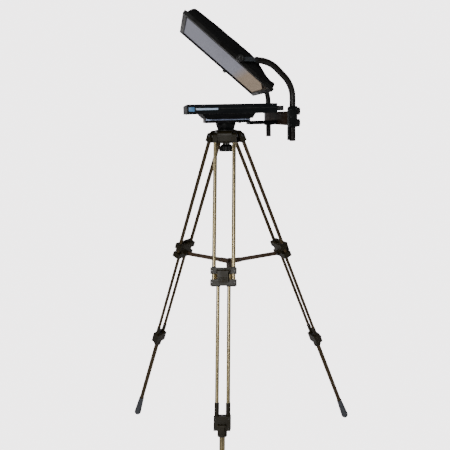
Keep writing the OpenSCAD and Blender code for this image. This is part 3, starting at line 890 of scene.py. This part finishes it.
# A blank two-tone printed stripe on a thin polyester label: a dark block and a pale bar
def edge_stripe():
    made, tree, shader = new_material("stripe_print")
    place = object_place(tree)
    fleck = cloudy(tree, place, 400, 4)
    left, front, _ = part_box("monitor_bezel")[0]
    across = shader_node(tree, "SeparateXYZ", {"Vector": place}).outputs["X"]
    bar = ranged(tree, across, left + 0.028, left + 0.029, 0, 1)
    block_tone = mixed(tree, fleck, (0.03, 0.12, 0.3, 1), (0.16, 0.36, 0.6, 1))
    bar_tone = mixed(tree, fleck, (0.36, 0.52, 0.76, 1), (0.62, 0.74, 0.9, 1))
    set_shader(
        tree, shader,
        Base_Color=mixed(tree, bar, block_tone, bar_tone),
        Roughness=ranged(tree, fleck, 0.3, 0.7, 0.3, 0.45),
    )
    shape = bmesh.new()
    for start, end, bottom, top in ((0.006, 0.026, 0.009, 0.023), (0.031, 0.108, 0.013, 0.0195)):
        low = (left + start, front - 0.0004, case_underside + bottom)
        high = (left + end, front + 0.0003, case_underside + top)
        rounded_block(shape, low, high, radius=0.00015)
    finished("edge_stripe", shape, "head", made)


def case_seam():
    (x0, y0, level), (x1, y1, _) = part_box("monitor_bezel")
    proud, half = 0.0003, 0.0007
    seam = bmesh.new()
    for y in (y0, y1):
        low, high = (x0 - proud, y - proud, level - half), (x1 + proud, y + proud, level + half)
        rounded_block(seam, low, high, radius=0.0002)
    for x in (x0, x1):
        low, high = (x - proud, y0, level - half), (x + proud, y1, level + half)
        rounded_block(seam, low, high, radius=0.0002)
    finished("case_seam", seam, "head", sockets_black)


def vent_slats():
    slat = bmesh.new()
    rounded_block(slat, (-0.0011, -0.013, -0.0006), (0.0011, 0.013, 0.0011), radius=0.0005)
    first, pitch, inner_row, row_gap = -0.075, 0.010, 0.146, 0.028
    places = []
    for row in range(2):
        for step in range(16):
            for side in (-1, 1):
                spot = Vector((first + step * pitch, side * (inner_row + row_gap * row), case_underside))
                places.append((spot, (0, 0, -1)))
    copied("vent_slats", slat, places, "head", sockets_black)


def case_screws():
    housing_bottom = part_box("monitor_back")[0][2]
    (x0, y0, _), (x1, y1, _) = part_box("monitor_bezel")
    inset = 0.012
    places = []
    for x in (x0 + inset, x1 - inset):
        for y in (y0 + inset, (y0 + y1) / 2, y1 - inset):
            places.append((Vector((x, y, case_underside)), (0, 0, -1)))
    for x in (-0.06, 0.06):
        for side in (-1, 1):
            places.append((Vector((x, side * 0.1, housing_bottom)), (0, 0, -1)))
    copied("case_screws", screw_head(0.003, 0.0014), places, "head", black_screws)


# A round power socket, and two flat video sockets with five contacts each
def socket_shells():
    bright_steel = bare_metal("bright_steel", (0.62, 0.62, 0.61), rough=0.28)
    brass = bare_metal("brass", (0.72, 0.52, 0.22), rough=0.25)
    low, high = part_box("connector_block")
    face = high[0]
    middle = (low[2] + high[2]) / 2
    shells, contacts = bmesh.new(), bmesh.new()
    power = facing_matrix((face, -0.120, middle), (1, 0, 0))
    turned(shells, [(0.0039, -0.006), (0.0039, 0.0006), (0.0056, 0.0006), (0.0056, -0.0004)], power, 32)
    turned(contacts, [(0.001, -0.012), (0.001, -0.0015), (0, -0.001)], power, 16)
    for y in (-0.150, -0.174):
        for edge in (middle + 0.0022, middle - 0.0032):
            start, end = (face - 0.006, y - 0.0078, edge), (face + 0.0005, y + 0.0078, edge + 0.001)
            rounded_block(shells, start, end, radius=0.0003)
        for step in range(5):
            centre = y - 0.005 + step * 0.0025
            start = (face - 0.009, centre - 0.0005, middle - 0.0006)
            end = (face - 0.002, centre + 0.0005, middle + 0.0004)
            rounded_block(contacts, start, end, radius=0.0002)
    finished("socket_shells", outward(shells), "head", bright_steel)
    finished("socket_contacts", outward(contacts), "head", brass)


screen_glass()
circuit_board()
button_caps()
edge_stripe()
case_seam()
vent_slats()
case_screws()
socket_shells()


# The glass frame: painted metal, closed by six screws, with the glass held by a plastic
# bead. It slopes down towards the operator, and its own directions are down the slope,
# across, and up off the operator side of the glass.
glass_slope = math.radians(40.7)
slope = Matrix.Translation(joints["frame_tilt"]["pos_m"]) @ Matrix.Rotation(glass_slope, 4, "Y")
frame_top, frame_bottom = -0.237, 0.159
frame_black = coat(
    "frame_black", (0.004, 0.0038, 0.0032), rough=0.34, grain=900, pebble=0.0001,
    worn=(0.12, 0.11, 0.08), wear=0.5, shine=0.3,
)
paint_nodes(frame_black, "glass_frame")


# Half-silvered glass: the coating throws part of the light back and lets the rest
# through; fine dust and wiped smears dull it unevenly.
def half_mirror():
    made, tree, shader = new_material("half_mirror")
    tree.nodes.remove(shader)
    place = object_place(tree)
    smear = cloudy(tree, object_place(tree, Scale=(9, 4, 9)), 1, 6)
    dust = cloudy(tree, place, 900, 3)
    # Past a line across its lower part the mirror's colour turns from violet-grey to tan: the tan is a
    # painted reflection.
    down = shader_node(tree, "SeparateXYZ", {"Vector": place}).outputs["X"]
    painted_reflection_share = ranged(tree, down, 0.045, 0.075, 0, 1)
    tint_with_painted_reflection = mixed(tree, painted_reflection_share, (0.38, 0.385, 0.45, 1), (0.44, 0.345, 0.26, 1))
    mirror = shader_node(tree, "BsdfGlossy", {
        "Color": tint_with_painted_reflection, "Roughness": ranged(tree, smear, 0.35, 0.7, 0.03, 0.12),
    })
    clear = shader_node(tree, "BsdfTransparent", {"Color": (0.3, 0.31, 0.33, 1)})
    film = shader_node(tree, "BsdfDiffuse", {"Color": (0.3, 0.3, 0.31, 1)})
    coated = shader_node(tree, "MixShader", {0: 0.72, 1: clear.outputs[0], 2: mirror.outputs[0]})
    dusty = shader_node(tree, "MixShader", {
        0: ranged(tree, dust, 0.45, 0.8, 0.03, 0.3), 1: coated.outputs[0], 2: film.outputs[0],
    })
    end_with(tree, dusty)
    paint_nodes(made, "beam_splitter_glass")


def frame_pieces():
    half, rim, lip = 0.190, 0.017, 0.0022
    screw_inset, screw_level = 0.0085, -0.009
    bead_low, bead_high = -0.0099, -0.0088
    downward = slope.to_3x3() @ Vector((0, 0, -1))
    places = []
    for u in (frame_top + screw_inset, (frame_top + frame_bottom) / 2, frame_bottom - screw_inset):
        for side in (-1, 1):
            places.append((slope @ Vector((u, side * (half - screw_inset), screw_level)), downward))
    copied("frame_screws", screw_head(0.0022, 0.0012), places, "glass", black_screws)
    bead = bmesh.new()
    inner = rim - lip
    for side in (-1, 1):
        near, far = sorted((side * (half - rim), side * (half - inner)))
        low, high = (frame_top + rim, near, bead_low), (frame_bottom - rim, far, bead_high)
        rounded_block(bead, low, high, slope, 0.0004)
    for start, end in ((frame_top + inner, frame_top + rim), (frame_bottom - rim, frame_bottom - inner)):
        low, high = (start, inner - half, bead_low), (end, half - inner, bead_high)
        rounded_block(bead, low, high, slope, 0.0004)
    finished("glass_bead", bead, "glass", leg_plastic)


half_mirror()
frame_pieces()


# The hood: black woven nylon sewn to a tape along the frame, bellied out over the glass,
# with rounded side walls, slack folds and an elastic cuff round the lens opening.
hood_outline = [
    (0.009, 0.003), (0.014, 0.027), (0.022, 0.034), (0.060, 0.038), (0.120, 0.041), (0.200, 0.045),
    (0.250, 0.046), (0.282, 0.043), (0.316, 0.034), (0.352, 0.024), (0.372, 0.022), (0.383, 0.026),
    (0.389, 0.022), (0.391, 0.012), (0.388, 0.003),
]
lens_centre = Vector((0.248 + frame_top, 0, 0))


def cloth_material():
    made, tree, shader = new_material("hood_nylon")
    place = object_place(tree, Rotation=(0, -glass_slope, 0))
    threads = {"Vector": place, "Scale": 330}
    across = shader_node(tree, "TexWave", threads, bands_direction="X").outputs["Fac"]
    along = shader_node(tree, "TexWave", threads, bands_direction="Y").outputs["Fac"]
    weave = math_of(tree, "MULTIPLY", across, along)
    fade = cloudy(tree, place, 16, 6)
    lint = cloudy(tree, place, 600, 4, 0.7)
    tone = mixed(tree, fade, (0.0012, 0.0012, 0.0014, 1), (0.003, 0.003, 0.0034, 1))
    set_shader(
        tree, shader,
        Base_Color=mixed(tree, ranged(tree, lint, 0.62, 0.8, 0, 0.15), tone, (0.03, 0.03, 0.03, 1)),
        Roughness=ranged(tree, weave, 0, 1, 0.6, 0.85),
        Sheen_Weight=0.03,
        Specular_IOR_Level=0.12,
        Normal=bumped(tree, weave, 0.00025, 0.7),
    )
    return made


# Evenly spaced points along the hood's outline, as (down the slope, off the glass)
def outline_points(count):
    lengths = [0.0]
    for before, after in zip(hood_outline, hood_outline[1:]):
        lengths.append(lengths[-1] + math.dist(before, after))
    points = []
    for index in range(count + 1):
        wanted = lengths[-1] * index / count
        part = max(i for i, value in enumerate(lengths) if value <= wanted + 1e-9)
        part = min(part, len(hood_outline) - 2)
        share = (wanted - lengths[part]) / (lengths[part + 1] - lengths[part])
        before, after = hood_outline[part], hood_outline[part + 1]
        points.append(tuple(b + (a - b) * share for b, a in zip(before, after)))
    return points


# Places across the cloth: up one side wall, round its shoulder, over, and down again
def cross_section(height, half, shoulder):
    shoulder = min(shoulder, height * 0.6)
    wall = [(-half, (height - shoulder) * step / 6) for step in range(6)]
    curve = []
    for step in range(6):
        angle = math.pi / 2 * step / 5
        y, z = -half + shoulder * (1 - math.cos(angle)), height - shoulder * (1 - math.sin(angle))
        curve.append((y, z))
    first = wall + curve
    start = curve[-1][0]
    over = [(start - 2 * start * step / 76, height) for step in range(1, 76)]
    return first + over + [(-y, z) for y, z in reversed(first)]


# How the gathers run round the lens opening, the same in the cloth and in its cuff
def gather(angle):
    return math.cos(26 * angle + 2 * math.sin(3 * angle))


def sewn_hood(cloth):
    half, base, shoulder = 0.184, 0.0045, 0.014
    lens_radius, wall_top = 0.055, 0.02
    shape = bmesh.new()
    rows = []
    for u, v in outline_points(110):
        height = max(v - base, 0.0004)
        section = cross_section(height, half, shoulder)
        rows.append([shape.verts.new((u + frame_top, y, base + z)) for y, z in section])
    for before, after in zip(rows, rows[1:]):
        for index in range(len(before) - 1):
            shape.faces.new((before[index], after[index], after[index + 1], before[index + 1]))
    opened = []
    for face in shape.faces:
        middle = face.calc_center_median()
        flat = Vector((middle.x, middle.y, 0)) - lens_centre
        if flat.length < lens_radius and middle.z > wall_top:
            opened.append(face)
    bmesh.ops.delete(shape, geom=opened, context="FACES")
    bmesh.ops.remove_doubles(shape, verts=shape.verts, dist=0.0003)
    for vert in shape.verts:
        flat = Vector((vert.co.x, vert.co.y, 0)) - lens_centre
        if vert.is_boundary and vert.co.z > wall_top and flat.length < lens_radius * 1.3:
            flat *= lens_radius / flat.length
            vert.co.x, vert.co.y = lens_centre.x + flat.x, flat.y
    outward(shape)
    shape.normal_update()
    area = sum(face.calc_area() for face in shape.faces)
    moves = {}
    for vert in shape.verts:
        fade = min(1, max(0, (vert.co.z - 0.010) / 0.015))
        flat = Vector((vert.co.x, vert.co.y, 0)) - lens_centre
        angle = math.atan2(flat.y, flat.x)
        beyond = max(0, flat.length - lens_radius)
        gathers = 0.0014 * gather(angle) * math.exp(-beyond / 0.016)
        slack = noise.noise(Vector((vert.co.x * 9, vert.co.y * 5, 3.1)))
        crease = noise.noise(Vector((vert.co.x * 26 + slack * 2, vert.co.y * 9, 7.7)))
        moves[vert] = vert.normal * (fade * (0.0026 * slack + 0.0017 * crease - 0.0022) + gathers * fade)
    for vert, move in moves.items():
        vert.co += move
    bmesh.ops.transform(shape, matrix=slope, verts=shape.verts)
    piece = finished("sewn_hood", shape, "glass", cloth)
    smoother = piece.modifiers.new("smoother", "SUBSURF")
    smoother.levels = smoother.render_levels = 1
    thick = piece.modifiers.new("thick", "SOLIDIFY")
    thick.thickness = 0.0009
    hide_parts("hood")
    return piece, area


def lens_cuff(cloth):
    ring_radius, ring_height, thickness = 0.0556, 0.0438, 0.0024
    around_steps, roll_steps = 156, 10
    shape = bmesh.new()
    rows = []
    for step in range(around_steps):
        angle = 2 * math.pi * step / around_steps
        ripple = 0.0005 * gather(angle)
        row = []
        for turn in range(roll_steps):
            around = 2 * math.pi * turn / roll_steps
            radius = ring_radius + (thickness + ripple) * math.cos(around)
            height = ring_height + (thickness - 0.0003 + ripple) * math.sin(around)
            spot = lens_centre + Vector((radius * math.cos(angle), radius * math.sin(angle), height))
            row.append(shape.verts.new(slope @ spot))
        rows.append(row)
    for index, row in enumerate(rows):
        after = rows[(index + 1) % around_steps]
        for turn in range(roll_steps):
            other = (turn + 1) % roll_steps
            shape.faces.new((row[turn], after[turn], after[other], row[other]))
    return finished("lens_cuff", outward(shape), "glass", cloth)


# Binding tape along the frame, where the cloth is stapled down
def hood_tape(cloth):
    top, bottom, half = frame_top + 0.008, frame_bottom - 0.006, 0.1865
    tape_low, tape_high = 0.0031, 0.0046
    side_width, end_width = 0.010, 0.008
    shape = bmesh.new()
    for side in (-1, 1):
        near, far = sorted((side * (half - side_width), side * half))
        rounded_block(shape, (top, near, tape_low), (bottom, far, tape_high), slope, 0.0005)
    for start in (top, bottom - end_width):
        low, high = (start, -half, tape_low), (start + end_width, half, tape_high)
        rounded_block(shape, low, high, slope, 0.0005)
    return finished("hood_tape", shape, "glass", cloth)


hood_cloth = cloth_material()
hood_piece, hood_area = sewn_hood(hood_cloth)
cuff = lens_cuff(hood_cloth)
tape = hood_tape(hood_cloth)
